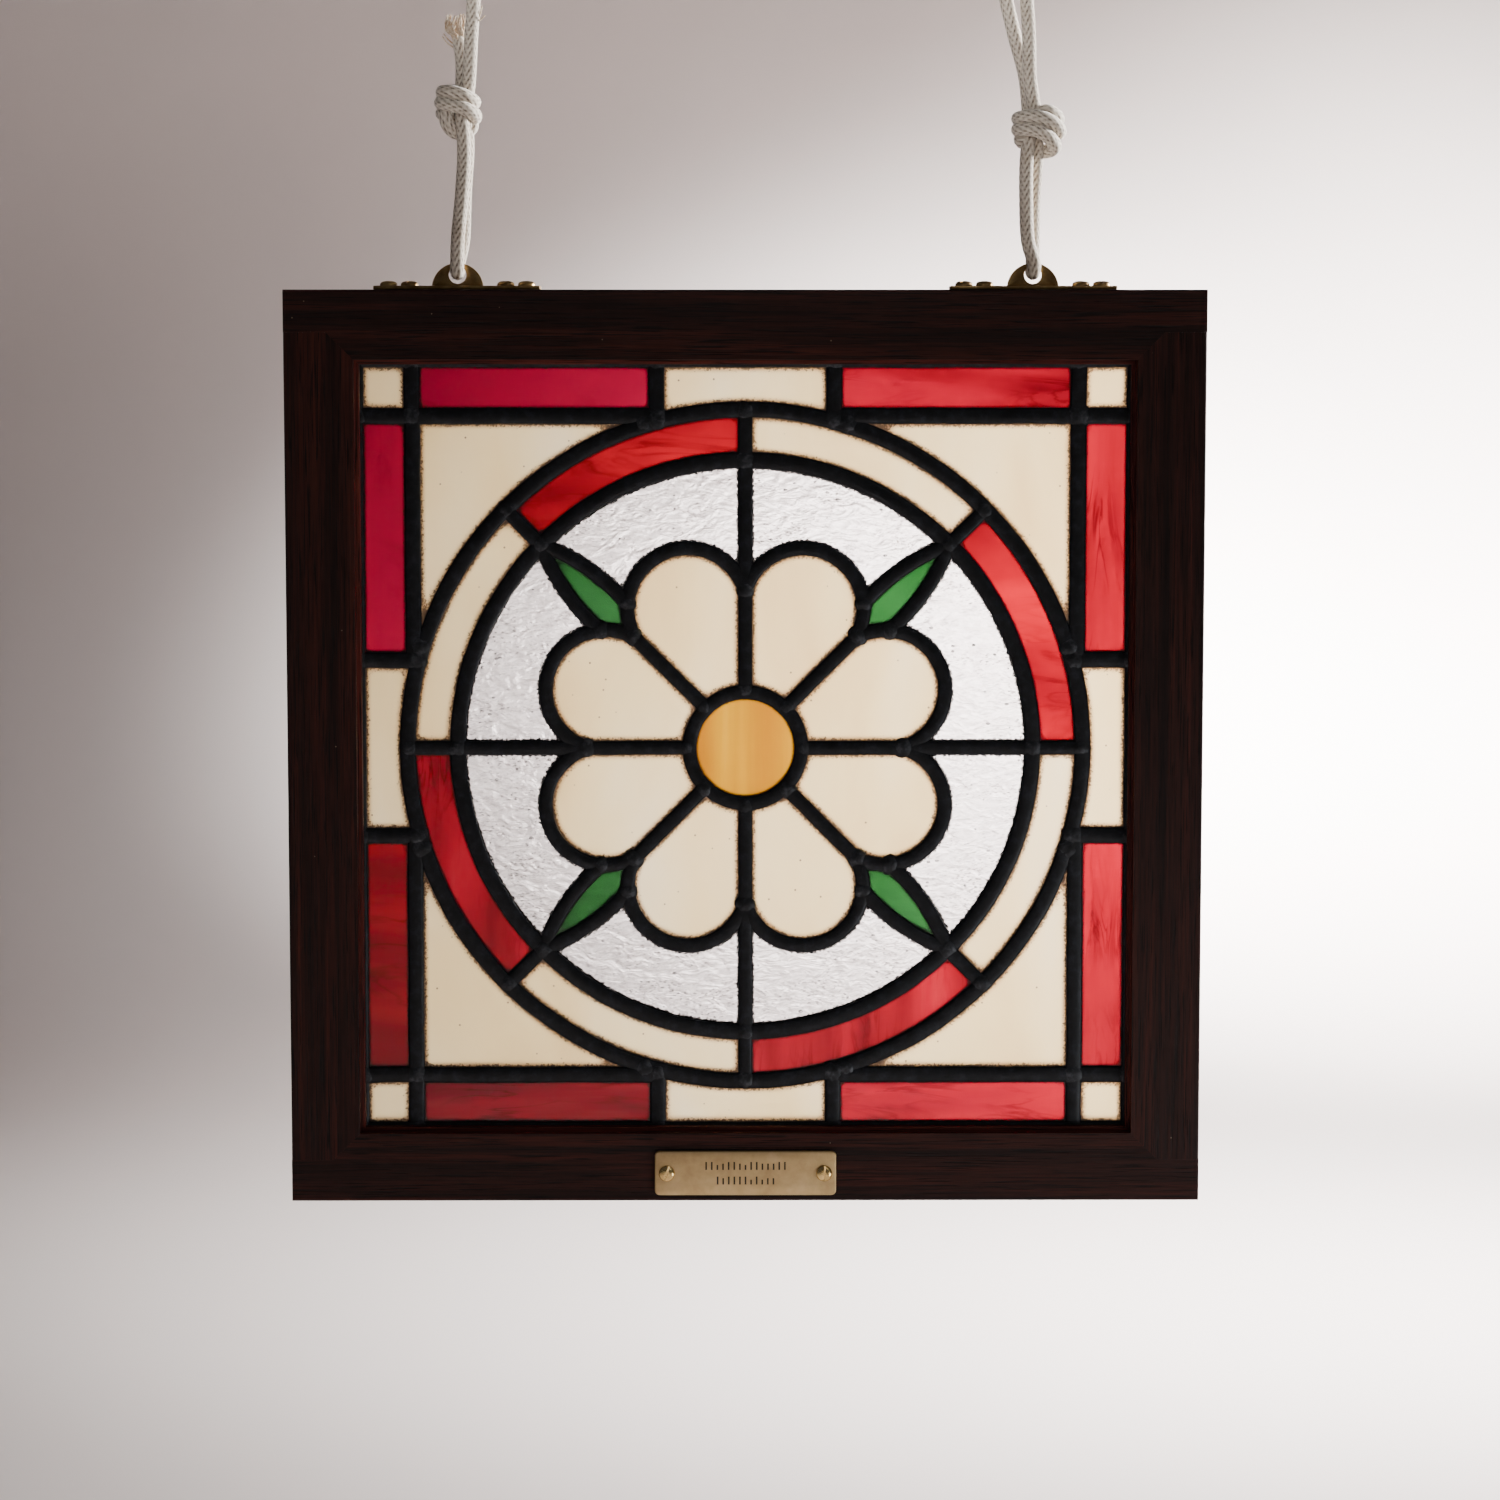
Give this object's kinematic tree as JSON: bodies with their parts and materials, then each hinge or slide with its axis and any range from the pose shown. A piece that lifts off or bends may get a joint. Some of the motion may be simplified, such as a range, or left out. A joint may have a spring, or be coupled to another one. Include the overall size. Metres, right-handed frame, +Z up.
{
  "type": "stained glass window",
  "caption": "Small square leaded stained glass panel in a dark hardwood frame, hung from its top edge by brass eyes and knotted cotton cords.",
  "frame": {"origin": "midway between the crowns of the two cord eyes, level with them, in the panel's middle plane", "axes": "+X to the right seen from the front, -Y out of the front face, +Z up"},
  "size_m": [0.355, 0.0254, 0.4966],
  "materials": {
    "dark_hardwood": "open-grained dark hardwood, oiled satin",
    "lead": "lead came with blue-black patina and solder joints",
    "cream_glass": "opalescent cream sheet glass",
    "ruby_glass": "streaky ruby sheet glass",
    "amber_glass": "streaky amber opalescent glass",
    "green_glass": "mid-green cathedral glass",
    "clear_glass": "clear seedy water glass",
    "brass": "satin brass, lightly tarnished",
    "cotton_cord": "undyed braided cotton cord"
  },
  "bodies": {
    "root": {"frame_top_rail": "dark_hardwood", "frame_bottom_rail": "dark_hardwood", "frame_left_stile": "dark_hardwood", "frame_right_stile": "dark_hardwood", "lead_came_net": "lead", "corner_glass_top_left": "cream_glass", "corner_glass_top_right": "cream_glass", "corner_glass_bottom_left": "cream_glass", "corner_glass_bottom_right": "cream_glass", "side_glass_top": "cream_glass", "side_glass_right": "cream_glass", "side_glass_bottom": "cream_glass", "side_glass_left": "cream_glass", "red_bar_top_left": "ruby_glass", "red_bar_top_right": "ruby_glass", "red_bar_right_upper": "ruby_glass", "red_bar_right_lower": "ruby_glass", "red_bar_bottom_right": "ruby_glass", "red_bar_bottom_left": "ruby_glass", "red_bar_left_lower": "ruby_glass", "red_bar_left_upper": "ruby_glass", "spandrel_glass_top_left": "cream_glass", "spandrel_glass_top_right": "cream_glass", "spandrel_glass_bottom_left": "cream_glass", "spandrel_glass_bottom_right": "cream_glass", "ring_red_1": "ruby_glass", "ring_cream_2": "cream_glass", "ring_red_3": "ruby_glass", "ring_cream_4": "cream_glass", "ring_red_5": "ruby_glass", "ring_cream_6": "cream_glass", "ring_red_7": "ruby_glass", "ring_cream_8": "cream_glass", "centre_glass": "amber_glass", "petal_glass_1": "cream_glass", "petal_glass_2": "cream_glass", "petal_glass_3": "cream_glass", "petal_glass_4": "cream_glass", "petal_glass_5": "cream_glass", "petal_glass_6": "cream_glass", "petal_glass_7": "cream_glass", "petal_glass_8": "cream_glass", "sepal_glass_1": "green_glass", "sepal_glass_2": "green_glass", "sepal_glass_3": "green_glass", "sepal_glass_4": "green_glass", "ground_glass_1": "clear_glass", "ground_glass_2": "clear_glass", "ground_glass_3": "clear_glass", "ground_glass_4": "clear_glass", "ground_glass_5": "clear_glass", "ground_glass_6": "clear_glass", "ground_glass_7": "clear_glass", "ground_glass_8": "clear_glass", "hanger_left": "brass", "hanger_right": "brass", "name_plate": "brass", "cord_left": "cotton_cord", "cord_right": "cotton_cord"}
  },
  "joints": []
}
